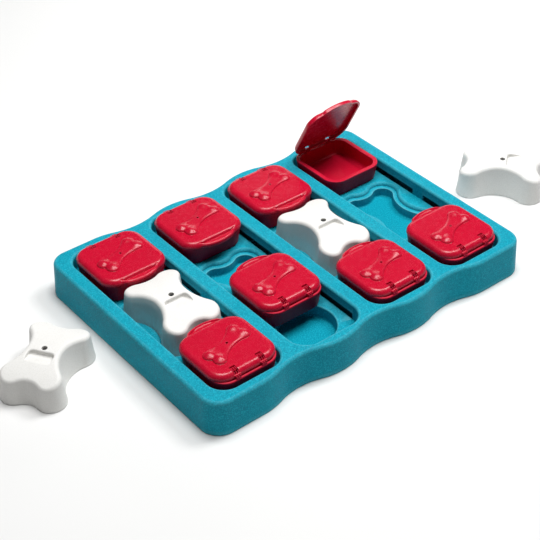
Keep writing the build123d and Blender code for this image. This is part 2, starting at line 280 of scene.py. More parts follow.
def finishMesh(name, shell, cutters=()):
    mesh = meshOf(name, shell.points, shell.faces)
    raw = bmesh.new()
    raw.from_mesh(mesh)
    # loops that meet are merged; both distances are in metres, far below any detail
    bmesh.ops.remove_doubles(raw, verts=raw.verts, dist=2e-6)
    bmesh.ops.dissolve_degenerate(raw, edges=raw.edges, dist=1e-6)
    bmesh.ops.delete(raw, geom=[v for v in raw.verts if not v.link_faces], context="VERTS")
    raw.to_mesh(mesh)
    raw.free()
    obj = newObject(name, mesh)
    for cutter in cutters:
        cut = obj.modifiers.new("notch", "BOOLEAN")
        cut.operation, cut.solver, cut.object = "DIFFERENCE", "MANIFOLD", cutter
    if cutters:
        mesh = applied(obj, name)
        obj = newObject(name, mesh)
    shaded(mesh, 40)
    weighted = obj.modifiers.new("normals", "WEIGHTED_NORMAL")
    weighted.keep_sharp = True
    return applied(obj, name)


def placedPiece(name, mesh, matrix, material, body, nodes=()):
    own = mesh.copy()
    own.name = name
    own.transform(matrix)
    own.materials.clear()
    own.materials.append(material)
    piece = newObject(name, own)
    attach(piece, body)
    if nodes:
        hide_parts(*nodes)


# Materials


def linear(code):
    # an sRGB hex colour as linear light
    parts = [int(code[n:n + 2], 16) / 255 for n in (1, 3, 5)]
    return [c / 12.92 if c <= 0.04045 else ((c + 0.055) / 1.055) ** 2.4 for c in parts] + [1.0]


def addNode(tree, kind, links=(), **settings):
    # a node with its settings; an input gets a value, a link from a socket, or one from a node's first output
    node = tree.nodes.new(kind)
    for name, value in settings.items():
        setattr(node, name, value)
    for name, value in dict(links).items():
        if isinstance(value, bpy.types.Node):
            value = value.outputs[0]
        if isinstance(value, bpy.types.NodeSocket):
            tree.links.new(value, node.inputs[name])
        else:
            node.inputs[name].default_value = value
    return node


def mouldedPlastic(name, finish):
    # one layout for every plastic: a base colour that drifts slightly with depth of pigment, the tool's
    # spark-eroded grain as bump and gloss, fine specks, and rounded edges a little paler: rubbed wear, and on
    # the tray also a painted highlight
    material = bpy.data.materials.new(name)
    material.use_nodes = True
    tree = material.node_tree
    tree.nodes.clear()
    place = addNode(tree, "ShaderNodeTexCoord").outputs["Object"]
    drift, grain, rub, ripple = [
        addNode(tree, "ShaderNodeTexNoise", {"Vector": place, "Scale": 1 / (finish[width] * toMetres),
                                             "Detail": detail, "Roughness": roughness})
        for width, detail, roughness in (("driftWidth", 3.0, 0.5), ("grainWidth", 4.0, 0.6),
                                         ("rubWidth", 5.0, 0.5), ("rippleWidth", 2.0, 0.5))]
    shade, specks, dull, handled = [
        addNode(tree, "ShaderNodeMapRange", {"Value": source, "From Min": given[0], "From Max": given[1],
                                             "To Min": wanted[0], "To Max": wanted[1]})
        for source, given, wanted in (
            (grain, finish["shadeRange"], finish["shadeSwing"]), (grain, finish["speckRange"], (0.0, 1.0)),
            (grain, finish["dullRange"], finish["roughness"]), (rub, finish["rubRange"], finish["rubSwing"]))]
    depth = addNode(tree, "ShaderNodeMath", {0: drift, 1: shade}, operation="ADD", use_clamp=True)
    amount = addNode(tree, "ShaderNodeMath", {0: specks, 1: finish["speckAmount"]}, operation="MULTIPLY")
    edge = addNode(tree, "ShaderNodeAttribute", attribute_name="edge").outputs["Fac"]
    # paler rounded edges: wear on the lids and bones, and on the tray partly wear and partly a painted
    # highlight line along the edges
    edgeWearAndHighlightMask = addNode(tree, "ShaderNodeMath", {0: edge, 1: rub}, operation="MULTIPLY")
    wearAndHighlight = addNode(tree, "ShaderNodeMath", {0: edgeWearAndHighlightMask, 1: finish["wearAndHighlight"]}, operation="MULTIPLY", use_clamp=True)
    colour = linear(finish["colourDeep"])
    for factor, code in ((depth, "colour"), (amount, "speckColour"), (wearAndHighlight, "wearAndHighlightColour")):
        colour = addNode(tree, "ShaderNodeMix", {"Factor": factor, 6: colour, 7: linear(finish[code])},
                         data_type="RGBA").outputs[2]   # 6, 7 and 2 are the node's colour sockets
    roughness = addNode(tree, "ShaderNodeMath", {0: dull, 1: handled}, operation="ADD", use_clamp=True)
    soft = addNode(tree, "ShaderNodeBump", {"Height": ripple, "Strength": 1.0,
                                            "Distance": finish["rippleHeight"] * toMetres})
    bump = addNode(tree, "ShaderNodeBump", {"Height": grain, "Strength": 1.0, "Normal": soft,
                                            "Distance": finish["grainHeight"] * toMetres})
    shader = addNode(tree, "ShaderNodeBsdfPrincipled", {
        "Base Color": colour, "Roughness": roughness, "Normal": bump, "IOR": finish["ior"],
        "Specular IOR Level": finish["specular"], "Subsurface Weight": finish["scatter"],
        "Subsurface Radius": (1.0, 1.0, 1.0), "Subsurface Scale": finish["scatterDepth"] * toMetres})
    addNode(tree, "ShaderNodeOutputMaterial", {"Surface": shader})
    return material


# widths and heights are in millimetres, and the ranges are of the noises; the real grains are about 0.3 mm
# wide, and drawn coarser here so that they show
plasticFinish = {
    "shadeRange": (0.36, 0.6), "shadeSwing": (-0.5, 0.5),   # how the grain shades the colour
    "dullRange": (0.3, 0.7), "rubRange": (0.35, 0.65), "rubSwing": (-0.03, 0.03),
    "ior": 1.53, "scatter": 0.12,
}
trayFinish = {
    **plasticFinish, "colour": "#0598AD", "colourDeep": "#048299", "driftWidth": 45.0, "grainWidth": 1.0,
    "grainHeight": 0.2, "speckRange": (0.5, 0.66), "speckAmount": 0.45, "speckColour": "#2FC2D8",
    # a strong pale edge: partly wear, partly a painted highlight along the rounded edges, since the low
    # specular gives little real highlight there
    "rubWidth": 6.0, "wearAndHighlight": 0.9, "wearAndHighlightColour": "#7CD3DE", "roughness": (0.36, 0.52),
    "rippleWidth": 20.0, "rippleHeight": 0.05, "specular": 0.05, "scatter": 0.0, "scatterDepth": 1.0,
}
lidFinish = {
    **plasticFinish, "colour": "#C2072D", "colourDeep": "#B60427", "driftWidth": 25.0, "grainWidth": 0.9,
    "grainHeight": 0.07, "speckRange": (0.52, 0.7), "speckAmount": 0.14, "speckColour": "#F0526E",
    "rubWidth": 5.0, "wearAndHighlight": 0.35, "wearAndHighlightColour": "#F2506C", "roughness": (0.2, 0.31),
    "rippleWidth": 14.0, "rippleHeight": 0.04, "specular": 0.3, "scatterDepth": 2.0,
}
boneFinish = {
    **plasticFinish, "colour": "#E6E5E2", "colourDeep": "#DDDCD8", "driftWidth": 20.0, "grainWidth": 0.9,
    "grainHeight": 0.09, "speckRange": (0.6, 0.72), "speckAmount": 0.3, "speckColour": "#C9C8C2",
    "rubWidth": 5.0, "wearAndHighlight": 0.4, "wearAndHighlightColour": "#FBFBF8", "roughness": (0.5, 0.66),
    "rippleWidth": 16.0, "rippleHeight": 0.05, "ior": 1.49, "specular": 0.5, "scatterDepth": 1.5,
}
# ABS moulded in a spark-eroded tool: an even satin grain that breaks up every highlight
trayPlastic = mouldedPlastic("mouldedSatinAbs", trayFinish)
# ABS moulded in a finer tool: semi-gloss, so the rolled edges carry soft bright bars
lidPlastic = mouldedPlastic("mouldedSemiGlossAbs", lidFinish)
# the boxes are the same ABS, a little duller inside their deep cores
boxPlastic = mouldedPlastic("mouldedSemiGlossAbsBox",
                            {**lidFinish, "roughness": (0.34, 0.5), "specular": 0.12})
# filled polypropylene: off-white, matte and finely speckled, with light soaking in a little at its edges
bonePlastic = mouldedPlastic("mouldedFilledPolypropylene", boneFinish)
print("materials made")

# Ribs and hinge fins: one tree repeats a flat side view along a row, and the row in groups


def rowTree(name, material):
    tree = bpy.data.node_groups.new(name, "GeometryNodeTree")
    face = tree.interface
    face.new_socket("Geometry", in_out="INPUT", socket_type="NodeSocketGeometry")
    for title, kind, value in (
            ("Thickness", "Float", 0.001), ("Count", "Int", 3), ("Pitch", "Float", 0.002),
            ("Groups", "Int", 1), ("Group Pitch", "Float", 0.02), ("Direction", "Vector", (1, 0, 0))):
        face.new_socket(title, in_out="INPUT", socket_type="NodeSocket" + kind).default_value = value
    face.new_socket("Geometry", in_out="OUTPUT", socket_type="NodeSocketGeometry")
    given = addNode(tree, "NodeGroupInput").outputs

    def along(size):
        return addNode(tree, "ShaderNodeVectorMath", {0: given["Direction"], "Scale": size},
                       operation="SCALE")

    def startOf(count, pitch, extra):
        # minus half the row's length, so that the row is centred
        size = count
        for operation, value in (("SUBTRACT", 1.0), ("MULTIPLY", pitch), ("ADD", extra), ("MULTIPLY", -0.5)):
            size = addNode(tree, "ShaderNodeMath", {0: size, 1: value}, operation=operation)
        return along(size)

    grown = addNode(tree, "GeometryNodeExtrudeMesh", {"Mesh": given["Geometry"], "Individual": False,
                                                      "Offset": along(given["Thickness"])}, mode="FACES")
    turned = addNode(tree, "GeometryNodeFlipFaces", {"Mesh": given["Geometry"]})
    closed = addNode(tree, "GeometryNodeJoinGeometry")
    for part in (grown, turned):
        tree.links.new(part.outputs[0], closed.inputs[0])
    ribs = addNode(tree, "GeometryNodeMergeByDistance", {"Geometry": closed, "Distance": 1e-6})
    for count, pitch, extra in (("Count", "Pitch", given["Thickness"]), ("Groups", "Group Pitch", 0.0)):
        row = addNode(tree, "GeometryNodeMeshLine", {
            "Count": given[count], "Start Location": startOf(given[count], given[pitch], extra),
            "Offset": along(given[pitch])}, mode="OFFSET")
        ribs = addNode(tree, "GeometryNodeInstanceOnPoints", {"Points": row, "Instance": ribs})
    real = addNode(tree, "GeometryNodeRealizeInstances", {"Geometry": ribs})
    painted = addNode(tree, "GeometryNodeSetMaterial", {"Geometry": real, "Material": material})
    addNode(tree, "NodeGroupOutput", {"Geometry": painted})
    return tree


def rowOfRibs(name, sideView, material, values):
    # sideView: the rib's flat outline as (x, y, z) points, whose face points back along the row
    obj = newObject(name, meshOf(name, sideView, [list(range(len(sideView)))]))
    tree = rowTree(name + "Tree", material)
    modifier = obj.modifiers.new("row", "NODES")
    modifier.node_group = tree
    for item in tree.interface.items_tree:
        if item.in_out == "INPUT" and item.name in values:
            modifier[item.identifier] = values[item.name]
    mesh = applied(obj, name)
    raw = bmesh.new()
    raw.from_mesh(mesh)
    bmesh.ops.recalc_face_normals(raw, faces=raw.faces)
    raw.to_mesh(mesh)
    raw.free()
    shaded(mesh, 30)
    return mesh


# Tray
tray = {
    "length": 330.0, "width": 234.8, "height": 31.7, "draft": 3.0, "cornerRadius": 17.3, "topRounding": 3.0,
    "wall": 2.4, "waveDepth": 6.5, "channels": 4, "rail": 13.9, "sideRim": 12.9, "endRim": 9.6,
    "channelCorner": 15.5, "channelEdge": 2.4, "track": 17.5, "recessFloor": 6.0, "recessEdge": 1.5,
    "recessFillet": 1.5, "recessRadius": 24.4, "footRounding": 0.5,
    "slotHeight": 5.5, "slotStart": 6.4, "slotEnd": 90.54,
    "ribThickness": 2.0, "ribFoot": 0.3, "ribRoot": 0.4,   # over the table, and into the ceiling
    "railRibEnds": (1.0, 2.7), "crossRibEnds": (1.4, 1.9),   # how far short, at the foot and the top
}
seat = {"gap": 0.3, "edge": 3.0, "height": 14.2, "ledge": 3.4, "ledgeEdge": 0.5, "corner": 0.25}
lean = np.tan(np.radians(tray["draft"]))
topInset = tray["height"] * lean
channelWidth = (tray["length"] - 2 * (topInset + tray["sideRim"]) - 3 * tray["rail"]) / tray["channels"]
channelPitch = channelWidth + tray["rail"]
channelHalf = tray["width"] / 2 - topInset - tray["endRim"]
channelXs = [(n - 1.5) * channelPitch for n in range(tray["channels"])]


def waveOutline():
    # straight sides, a crest at each channel and a trough at each rail along the front and back
    crest, depth, corner = tray["width"] / 2, tray["waveDepth"], tray["cornerRadius"]
    step, last = channelPitch / 4, tray["channels"] - 1
    bend = (step**2 + (depth / 2) ** 2) / depth
    turn = np.degrees(np.arctan2(step, bend - depth / 2))
    half = [arcRun((tray["length"] / 2 - corner, crest - corner), corner, 0, 90, step=5)]
    for n in range(last, -1, -1):
        half.append(arcRun((channelXs[n], crest - bend), bend, 90 if n == last else 90 - turn,
                           90 if n == 0 else 90 + turn, step=2.5))
        if n:
            half.append(arcRun((channelXs[n] - channelPitch / 2, crest - depth + bend), bend, turn - 90,
                               -turn - 90, hollow=True, step=2.5))
    half.append(arcRun((corner - tray["length"] / 2, crest - corner), corner, 90, 180, step=5))
    return joinRuns(half + turnedRuns(half))


def makeTray():
    shell = Shell()
    wall, height, track = tray["wall"], tray["height"], tray["track"]
    ceiling, under, slotTop = height - wall, track - wall, track + tray["slotHeight"]
    floor, slotStart, slotEnd = tray["recessFloor"], tray["slotStart"], tray["slotEnd"]
    foot, top = tray["footRounding"], tray["topRounding"]
    skirt = shell.sweep(waveOutline(), [(-wall - ceiling * lean, ceiling), (-wall, 0.0)] +
                        quarter(-foot, foot, foot, -90, 0, 3) +
                        [(-z * lean, z) for z in np.linspace(foot, height - top, 8)[1:-1]] +
                        quarter(-(height - top) * lean - top, height - top, top, 0, 90, 8))
    plan = roundedOutline(channelWidth, -channelHalf, channelHalf, tray["channelCorner"],
                          stops=(-slotEnd, -slotStart, slotStart, slotEnd), step=5)
    count = len(plan[0])
    middles = np.abs(plan[0] + np.roll(plan[0], -1, axis=0)) / 2
    gaps = [i for i, (x, y) in enumerate(middles) if x > channelWidth / 2 - 1e-3 and slotStart < y < slotEnd]
    mouths, ceilingHoles = [], []
    for x in channelXs:
        channel = shifted(plan, x)
        edge = tray["channelEdge"]
        rings = shell.sweep(channel, quarter(edge, height - edge, edge, 90, 180, 7) + [(0.0, slotTop)])
        mouths.append(rings[0])
        innerTop = rings[-1]
        innerFoot, innerBase, outerTop, outerFoot, outside, outerBase = [
            shell.ring(channel, offset, z) for offset, z in (
                (0.0, track), (0.0, under), (wall, slotTop), (wall, track), (wall, ceiling), (wall, under))]
        shell.skin(innerTop, innerFoot, without=gaps)
        shell.skin(outerBase, outerFoot, without=gaps)
        shell.skin(outerFoot, outerTop, without=gaps)
        shell.skin(outerTop, outside)
        ceilingHoles.append(outside)
        shell.skin(innerTop, outerTop, only=gaps)    # the slot's roof
        shell.skin(innerBase, innerFoot, only=gaps)  # the floor's edge, cut back at the slot
        base = []   # the floor's underside follows the wall, and steps in at the slots
        for i in range(count):
            before, after = (i - 1) % count in gaps, i in gaps
            if before != after:   # the slot's end, beside the floor's edge and above it
                for rings in ((innerBase, innerFoot, outerFoot, outerBase),
                              (innerFoot, innerTop, outerTop, outerFoot)):
                    face = [ring[i] for ring in rings]
                    shell.faces.append(face if after else [face[0]] + face[:0:-1])
            inner, outer = [innerBase[i]], [outerBase[i]]
            base += inner * before + outer * (not (before and after)) + inner * (after and not before)
        # the seat's rounded edge, the ledge that carries the bone, and the recess inside it
        place = shifted(boneFoot, x)
        gap, edge, corner, ledge = seat["gap"], seat["edge"], seat["corner"], seat["height"]
        ledgeEdge, fillet = seat["ledgeEdge"], tray["recessFillet"]
        rings = shell.sweep(place, quarter(gap + edge, track - edge, edge, 90, 180, 8) +
                            quarter(gap - corner, ledge + corner, corner, 0, -90, 2) +
                            quarter(-seat["ledge"] + ledgeEdge, ledge - ledgeEdge, ledgeEdge, 90, 180, 3) +
                            quarter(-seat["ledge"] - fillet, floor + fillet, fillet, 0, -90, 4))
        hollows = [(place, rings, gap + wall)]
        edge = tray["recessEdge"]
        for y in (-cellY, cellY):
            circle = circleOutline((x, y), tray["recessRadius"])
            rings = shell.sweep(circle, quarter(edge, track - edge, edge, 90, 180, 4) +
                                quarter(-fillet, floor + fillet, fillet, 0, -90, 4))
            hollows.append((circle, rings, wall))
        tubs = []   # each hollow has a tub under the floor
        for outline, rings, offset in hollows:
            shell.fill([rings[-1]])
            tubs.append(shell.sweep(outline, [(offset, floor - wall), (offset, under)]))
            shell.fill([tubs[-1][0]], up=False)
        shell.fill([innerFoot] + [rings[0] for _, rings, _ in hollows])
        shell.fill([base] + [tub[1] for tub in tubs], up=False)
    shell.fill([skirt[-1]] + mouths)
    shell.fill([skirt[0]] + ceilingHoles, up=False)
    return finishMesh("trayMoulding", shell)


def makeTrayRibs():
    # one rib along each hollow rail, and two across under the floors, clear of the tubs
    foot, root, thickness = tray["ribFoot"], tray["ribRoot"], tray["ribThickness"] * toMetres
    top, half = tray["height"] - tray["wall"] + root, tray["width"] / 2 - tray["waveDepth"]
    low, high = (half - short for short in tray["railRibEnds"])
    railRib = [(0, -low, foot), (0, -high, top), (0, high, top), (0, low, foot)]
    rails = rowOfRibs("railRibs", railRib, trayPlastic, {"Thickness": thickness, "Count": 3,
                                                         "Pitch": channelPitch * toMetres})
    top = tray["track"] - tray["wall"] + root
    low, high = (tray["length"] / 2 - short for short in tray["crossRibEnds"])
    crossRib = [(-low, 0, foot), (low, 0, foot), (high, 0, top), (-high, 0, top)]
    pitch = bone["length"] / 2 + seat["gap"] + cellY - tray["recessRadius"]
    across = rowOfRibs("crossRibs", crossRib, trayPlastic, {
        "Thickness": thickness, "Count": 2, "Pitch": pitch * toMetres, "Direction": (0.0, 1.0, 0.0)})
    return rails, across


# Bone blocks
bone = {
    "length": 78.0, "sideGap": 4.9, "lobe": 12.5, "sideDip": 10.0, "endDip": 4.5, "height": 29.0,
    "draft": 6.0, "crown": 97.0, "topRounding": 3.5, "wall": 2.2, "roof": 2.6, "footRounding": 0.5,
    "airHole": 2.3, "holeEdge": 0.35, "gripWidth": 21.0, "gripStart": 4.0, "gripEnd": 16.7, "gripFloor": 2.0,
    "gripDepth": 4.2, "gripFade": 0.3, "gripCorner": 3.4, "gripEdge": 1.3, "gripFillet": 1.4,
    "roofPast": (0.8, 1.2, -1.0), "roofBlend": 1.6,   # past the grip's sides, wall and ramp
}
slant = np.radians(bone["draft"])
boneFoot = boneOutline(bone["length"], channelWidth - 2 * bone["sideGap"], bone["lobe"], bone["sideDip"],
                       bone["endDip"], step=5)


def crownHeight(y, drop=0.0):
    radius = bone["crown"] - drop
    return bone["height"] - bone["crown"] + np.sqrt(radius**2 - np.asarray(y) ** 2)


def gripDepthAt(y):
    # full depth beside the steep wall, then a ramp that fades out
    rampStart = bone["gripStart"] + bone["gripFloor"]
    ramp = np.clip((-rampStart - np.asarray(y)) / (bone["gripEnd"] - rampStart + bone["gripFade"]), 0, 1)
    return bone["gripDepth"] * (1 - 0.5 * ramp - 0.5 * eased(ramp))


def onCrown(x, y):
    return crownHeight(y)


def inGrip(x, y):
    return crownHeight(y) - gripDepthAt(y)


def underRoof(x, y):
    # the roof's underside, let down round the grip
    aside, wallward, rampward = bone["roofPast"]
    start = bone["gripStart"]
    reach = np.hypot(np.maximum(np.abs(x) - bone["gripWidth"] / 2 - aside, 0),
                     np.maximum(np.maximum(y + start - wallward, -y - bone["gripEnd"] - rampward), 0))
    near = np.clip(1 - reach / bone["roofBlend"], 0, 1)
    return crownHeight(y, bone["roof"]) - gripDepthAt(np.minimum(y, -start)) * eased(near)


def meetCrown(wall=0.0, drop=0.0):
    # where the drafted side meets the crown, or its inner face the roof: a few rounds settle it
    points, normals = boneFoot
    offset = np.full(len(points), -wall - 2.0)
    for n in range(6):
        z = crownHeight(points[:, 1] + normals[:, 1] * offset, drop)
        offset = -wall - z * np.tan(slant)
    return offset, z


def sideAndCrown(shell):
    # the drafted side, rolled into the crown by a true fillet that follows the crown's slope at each point
    points, normals = boneFoot
    radius, foot = bone["topRounding"], bone["footRounding"]
    offset = meetCrown()[0]
    y = points[:, 1] + normals[:, 1] * offset
    slope = -y / np.sqrt(bone["crown"] ** 2 - y**2) * normals[:, 1]
    corner = np.stack([offset, crownHeight(y)], 1)
    sideIn = np.tile([-np.cos(slant), -np.sin(slant)], (len(points), 1))
    crownIn = np.stack([slope, -np.ones(len(points))], 1) / np.sqrt(1 + slope**2)[:, None]
    rows = np.stack([sideIn, crownIn], 1)
    centre = np.linalg.solve(rows, radius + np.einsum("nij,nj->ni", rows, corner)[..., None])[..., 0]
    first, last = np.full(len(points), slant), np.pi / 2 + np.arctan(slope)
    startZ = centre[:, 1] + radius * np.sin(slant)
    levels = quarter(-foot, foot, foot, -90, 0, 3)
    levels += [(-z * np.tan(slant), z) for z in np.linspace(foot, startZ, 7)[1:-1]]
    levels += [(centre[:, 0] + radius * np.cos(turn), centre[:, 1] + radius * np.sin(turn))
               for turn in np.linspace(first, last, 8)]
    rings = shell.sweep(boneFoot, levels)
    shell.lay(rings[-1], onCrown)
    return rings


def makeBone():
    shell = Shell()
    rings = sideAndCrown(shell)
    grip = divided(roundedOutline(bone["gripWidth"], -bone["gripEnd"], -bone["gripStart"],
                                  bone["gripCorner"]))
    depth, crownAt = gripDepthAt(grip[0][:, 1]), crownHeight(grip[0][:, 1])
    # both shrink where the ramp fades out
    edge, fillet = np.minimum(bone["gripEdge"], 0.45 * depth), np.minimum(bone["gripFillet"], 0.5 * depth)
    gripRings = shell.sweep(grip, quarter(edge, crownAt - edge, edge, 90, 180) +
                            quarter(-fillet, crownAt - depth + fillet, fillet, 0, -90))
    shell.lay(gripRings[0], onCrown)
    shell.lay(gripRings[-1], inGrip)
    shell.fill([gripRings[-1]], spacing=1.3, height=inGrip)
    hole, edge = circleOutline((0, 0), bone["airHole"], step=15), bone["holeEdge"]
    holeRings = shell.sweep(hole, quarter(edge, crownHeight(0) - edge, edge, 90, 180, 3) +
                            [(0.0, float(crownHeight(0, bone["roof"])))])
    shell.fill([rings[-1], gripRings[0], holeRings[0]], spacing=2.5, height=onCrown)
    wall = bone["wall"]
    offset, z = meetCrown(wall, bone["roof"])
    top = shell.ring(boneFoot, offset, z)
    shell.fill([top, holeRings[-1]], up=False, spacing=1.6, height=underRoof)
    below = shell.sweep(boneFoot, [(-wall - z * part * np.tan(slant), z * part)
                                   for part in np.linspace(1, 0, 5)[1:]], start=top)
    shell.skin(below[-1], rings[0])
    return finishMesh("boneBlock", shell)


# Food boxes: z as in the toy, y = 0 at the lid's centre and +y towards the hinge
box = {
    "start": 41.8, "endGap": 1.7, "sideGap": 1.5, "bottom": 17.8, "rim": 34.0,
    "sideLevels": (22.0, 26.0, 30.0),   # heights of the rings between foot and rim
    "rimWidth": 5.3, "corner": 13.5, "cupCorner": 9.0, "draft": 7.9, "cupDraft": 1.5, "floor": 2.0,
    "cupRounding": 3.0, "cupLevel": 27.0, "cupEdge": 0.7, "footRounding": 1.2, "rimRounding": 0.3,
    "hingeRolling": 1.2, "tuck": 1.2, "hingeTuck": 0.8,   # how far the rim is drawn in under the lid's edge
    "grooveHalf": 23.5, "ridge": 1.4, "grooveUnder": 0.9, "grooveDepth": 1.8,
    "runnerStart": 16.0, "runnerSetback": 14.4, "runnerRoot": 27.0, "runnerReach": 2.0, "runnerLift": 0.6,
    "runnerThickness": 3.3, "runnerEase": 0.6,
}
boxWidth = channelWidth - 2 * box["sideGap"]
boxLength = channelHalf - box["endGap"] - box["start"]


def makeBox():
    shell = Shell()
    rim, bottom, tuck, foot = box["rim"], box["bottom"], box["tuck"], box["footRounding"]
    plan = roundedOutline(boxWidth - 2 * tuck, rimStart + tuck, rimEnd - box["hingeTuck"], box["corner"],
                          step=5)
    slope = np.tan(np.radians(box["draft"]))
    # nearly sharp beside the lid, and a full roll on the hinge side
    rolling = box["hingeRolling"] - box["rimRounding"]
    rounding = box["rimRounding"] + rolling * np.clip(plan[1][:, 1], 0, 1) ** 2
    upright = rim - box["hingeRolling"]
    rings = shell.sweep(plan, quarter(-(upright - bottom) * slope - foot, bottom + foot, foot, -90, 0, 4) +
                        [(-(upright - z) * slope, z) for z in box["sideLevels"]] +
                        quarter(-rounding, rim - rounding, rounding, 0, 90))
    shell.fill([rings[0]], up=False)
    width, edge, fillet = box["rimWidth"], box["cupEdge"], box["cupRounding"]
    cup = roundedOutline(boxWidth - 2 * width, rimStart + width, rimEnd - width, box["cupCorner"])
    slope, floor = np.tan(np.radians(box["cupDraft"])), bottom + box["floor"]
    cupRings = shell.sweep(cup, quarter(edge, rim - edge, edge, 90, 180) +
                           [(-(rim - box["cupLevel"]) * slope, box["cupLevel"])] +
                           quarter(-(rim - floor) * slope - fillet, floor + fillet, fillet, 0, -90, 7))
    # a groove along the hinge, between the lid's edge and a thin ridge
    half, groove = lidLength / 2, []
    lidPlan = roundedOutline(boxWidth - 2 * lid["sideGap"], -half, half, lid["corner"], step=5)
    for outline, offset, way in ((plan, box["ridge"], -1), (lidPlan, box["grooveUnder"], 1)):
        run = [spot for spot in outline[0] - outline[1] * offset
               if spot[1] > 0 and abs(spot[0]) < box["grooveHalf"]]
        groove += sorted(run, key=lambda spot: way * spot[0])
    grooveTop, grooveFloor = shell.loop(groove, rim), shell.loop(groove, rim - box["grooveDepth"])
    shell.skin(grooveTop, grooveFloor)
    shell.fill([grooveFloor])
    shell.fill([rings[-1], cupRings[0], grooveTop])
    shell.fill([cupRings[-1]])
    start = box["start"] + box["runnerStart"] - cellY
    end = box["start"] + boxLength - box["runnerSetback"] - cellY
    reach, z = channelWidth / 2 + box["runnerReach"], tray["track"] + box["runnerLift"]
    for low, high in ((box["runnerRoot"], reach), (-reach, -box["runnerRoot"])):
        shell.block((low, start, z), (high, end, z + box["runnerThickness"]), box["runnerEase"])
    start = -hinge["shelfBehind"] + half - hinge["backReach"]
    half, end = hinge["shelfHalf"], pinY + hinge["hookRadius"]
    for x in (-hinge["spacing"] / 2, hinge["spacing"] / 2):
        # the shelf that carries a hinge's fins
        shell.block((x - half, start, rim - hinge["shelfDrop"]), (x + half, end, rim + hinge["shelfRise"]),
                    hinge["shelfEase"])
    return finishMesh("foodBox", shell)


# Hinge: three fins with open hooks on the box, and three low ribs in line with them in the lid's window
hinge = {
    "pinRadius": 1.1, "pinInset": 0.4, "pinHeight": 1.8, "pinRoot": 0.4, "spacing": 24.4, "notchWidth": 5.3,
    "notchLength": 3.6, "notchCorner": 0.7, "windowLength": 7.7, "windowDepth": 1.6,
    "ribDrop": 0.25, "ribGap": 1.0, "ribShort": 0.1, "ribRoot": 0.2, "ribEase": 0.3,
    "finCount": 3, "finThickness": 0.62, "finPitch": 1.8, "finRoot": 1.2, "hookRadius": 2.2, "bore": 1.2,
    "mouth": 70.0, "outerTip": 15.0, "backDrop": 0.1, "backRounding": 0.9, "backReach": 3.0,
    "shelfHalf": 2.3, "shelfBehind": 0.1, "shelfDrop": 1.8, "shelfRise": 0.7, "shelfEase": 0.3,
}
finRow = {"Thickness": hinge["finThickness"] * toMetres, "Count": hinge["finCount"],
          "Pitch": hinge["finPitch"] * toMetres, "Groups": 2, "Group Pitch": hinge["spacing"] * toMetres}


def finSideView():
    # a hook round the lid's pin, open at the top, with a solid back
    lip, tip, hook = 90 + hinge["mouth"] / 2, hinge["outerTip"], hinge["hookRadius"]
    inner, base = lidLength / 2 - hinge["backReach"], box["rim"] - hinge["finRoot"]
    top, r = pinZ + hook - hinge["backDrop"], hinge["backRounding"]
    spots = [(inner, base)] + quarter(inner + r, top - r, r, 180, 90) + quarter(pinY, pinZ, hook, lip, lip, 0)
    spots += quarter(pinY, pinZ, hinge["bore"], lip, 360 + tip, 21) + quarter(pinY, pinZ, hook, tip, 0, 2)
    return [(0, y, z) for y, z in spots + [(pinY + hook, base)]]


def ribSideView():
    # a low bar across the lid's window, in line with a hook
    start = lidLength / 2 - hinge["windowLength"] + hinge["ribGap"]
    end = lidLength / 2 - hinge["notchLength"] - hinge["ribShort"]
    foot, top = lidTop - hinge["windowDepth"] - hinge["ribRoot"], lidTop - hinge["ribDrop"]
    ease = hinge["ribEase"]
    return [(0, y, z) for y, z in ((start, foot), (start, top - ease), (start + ease, top), (end - ease, top),
                                   (end, top - ease), (end, foot))]


# Lids
lid = {
    "seam": 0.3, "height": 5.2, "corner": 14.0, "rounding": 4.8, "wall": 2.2, "roof": 2.0, "sideGap": 0.1,
    "innerGap": 1.2, "hingeGap": 3.0, "edgeEase": 0.1, "underFillet": 2.2,
    "lipReach": 5.4, "lipWidth": 38.0, "lipHeight": 3.7, "lipRounding": 1.7, "lipRim": 1.9, "lipDish": 1.3,
    "lipFillet": 11.0, "lipBlend": (0.15, 2.6),   # where the lip starts to show, and over how far
    "rimDrop": ((0.0, 0.05), (0.25, 0.5)),        # behind the lip's rim: how far, and how deep
    "dishEdge": -1.5,
    "dishRows": ((0.2, 0.2, 0.1), (0.6, 0.0, 0.0), (0.95, 0.0, 0.1)),   # part, past the rim, rise
    # under the lip: part of the plain edge, offsets from that and the lip's edge, depth below the roof
    "underRows": ((1, -3.0, 0, 0.5), (1, -1.4, 0, 1.2), (0.6, -0.6, -3.2, 1.6), (0.25, -0.6, -3.2, 1.65),
                  (0, 0, -2.6, 1.75), (0, 0, -2.1, 2.2)),
    "underFoot": ((-2.0, 0.25), (-1.8, 0.0)),
}
figure = {
    "length": 45.5, "width": 20.0, "lobe": 5.5, "sideDip": 4.55, "endDip": 1.7, "angle": 22.0, "foot": 0.3,
    "rise": 2.15, "spread": 4.0, "vent": 1.0, "ventEdge": 0.3, "knob": 0.6, "knobWidth": 3.6, "shaft": 0.76,
}
lidLength = boxLength - lid["innerGap"] - lid["hingeGap"]
cellY = box["start"] + lid["innerGap"] + lidLength / 2
lidBottom = box["rim"] + lid["seam"]
lidTop = lidBottom + lid["height"]
pinY, pinZ = lidLength / 2 - hinge["pinInset"], lidBottom + hinge["pinHeight"]
rimStart, rimEnd = -lidLength / 2 - lid["innerGap"], lidLength / 2 + lid["hingeGap"]


def tangentCircle(centreA, radiusA, centreB, radiusB):
    # centre of the circle that touches both others at these distances, on the outer side (below, in y)
    a, b = np.array(centreA), np.array(centreB)
    gap = np.linalg.norm(b - a)
    along = (radiusA**2 - radiusB**2 + gap**2) / (2 * gap)
    way = (b - a) / gap
    aside = np.sqrt(radiusA**2 - along**2)
    both = [a + way * along + s * aside * np.array([-way[1], way[0]]) for s in (-1, 1)]
    return min(both, key=lambda spot: spot[1])


def lengthAlong(spots):
    return np.concatenate([[0], np.cumsum(np.linalg.norm(np.diff(spots, axis=0), axis=1))])


